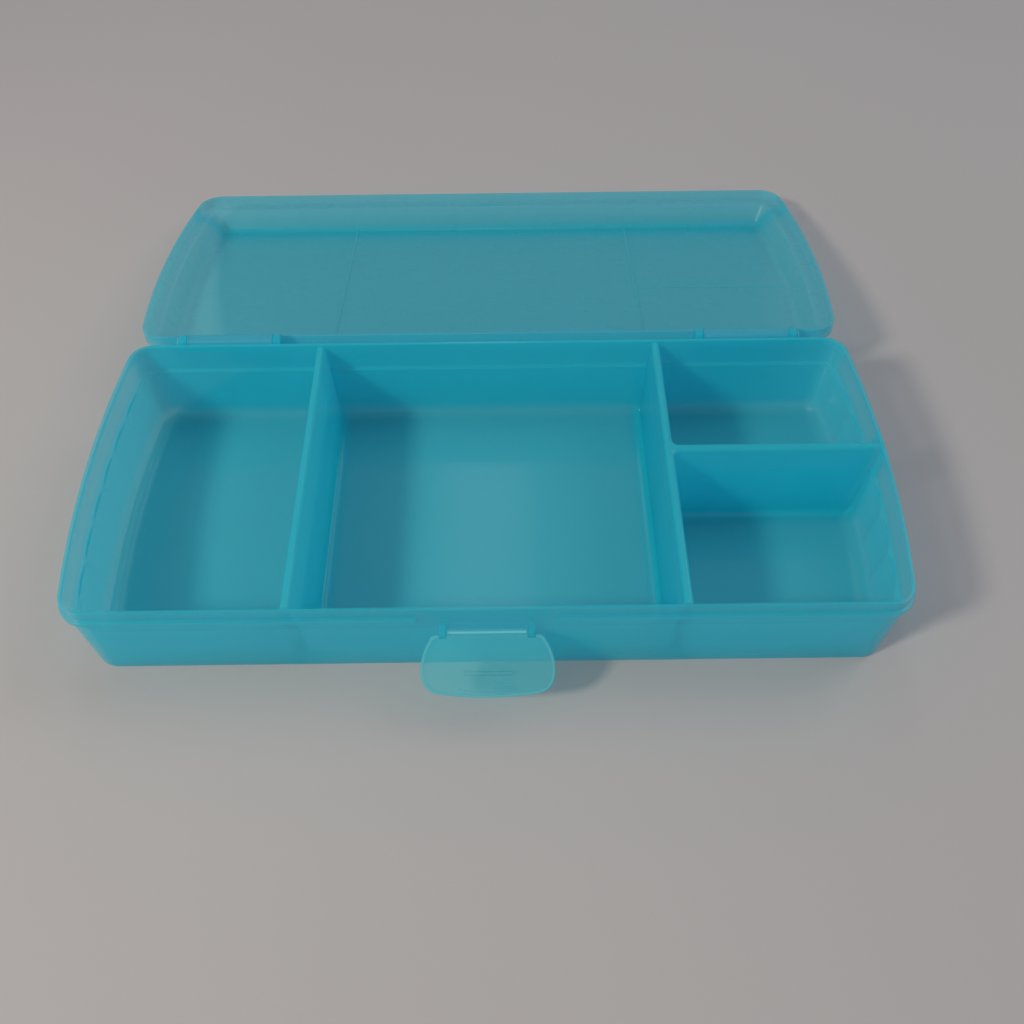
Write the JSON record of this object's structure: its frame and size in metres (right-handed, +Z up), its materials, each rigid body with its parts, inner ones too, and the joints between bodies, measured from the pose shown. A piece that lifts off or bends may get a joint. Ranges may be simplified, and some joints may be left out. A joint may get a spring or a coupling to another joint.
{
  "type": "divided lunch box",
  "caption": "Long low divided lunch box with bowed ends, a domed lid on a pinned back hinge and a swing-up flap latch at the front.",
  "frame": {"origin": "middle of the tray's flat underside, on the surface the tray stands on", "axes": "+X along the box's length, to the right of a user at the latch side; +Y from the latch to the hinge; +Z up"},
  "size_m": [0.3228, 0.3003, 0.0445],
  "materials": {
    "tray_plastic": "translucent aqua polypropylene, satin outside and smooth inside",
    "lid_plastic": "translucent aqua polypropylene, fine satin texture on the panel",
    "latch_plastic": "clearer translucent aqua polypropylene, smooth",
    "pin_plastic": "aqua polypropylene, smooth"
  },
  "bodies": {
    "tray_body": {"divided_tray": "tray_plastic", "hinge_pin_left": "pin_plastic", "hinge_pin_right": "pin_plastic"},
    "lid_body": {"lid": "lid_plastic"},
    "latch_body": {"latch": "latch_plastic"}
  },
  "joints": [
    {"name": "lid_hinge", "type": "hinge", "parent": "tray_body", "child": "lid_body", "pos_m": [0, 0.0728, 0.0401], "axis": [1, 0, 0], "range_deg": [0, 190.87]},
    {"name": "latch_hinge", "type": "hinge", "parent": "tray_body", "child": "latch_body", "pos_m": [0, -0.0703, 0.033], "axis": [-1, 0, 0], "range_deg": [0, 134]}
  ]
}
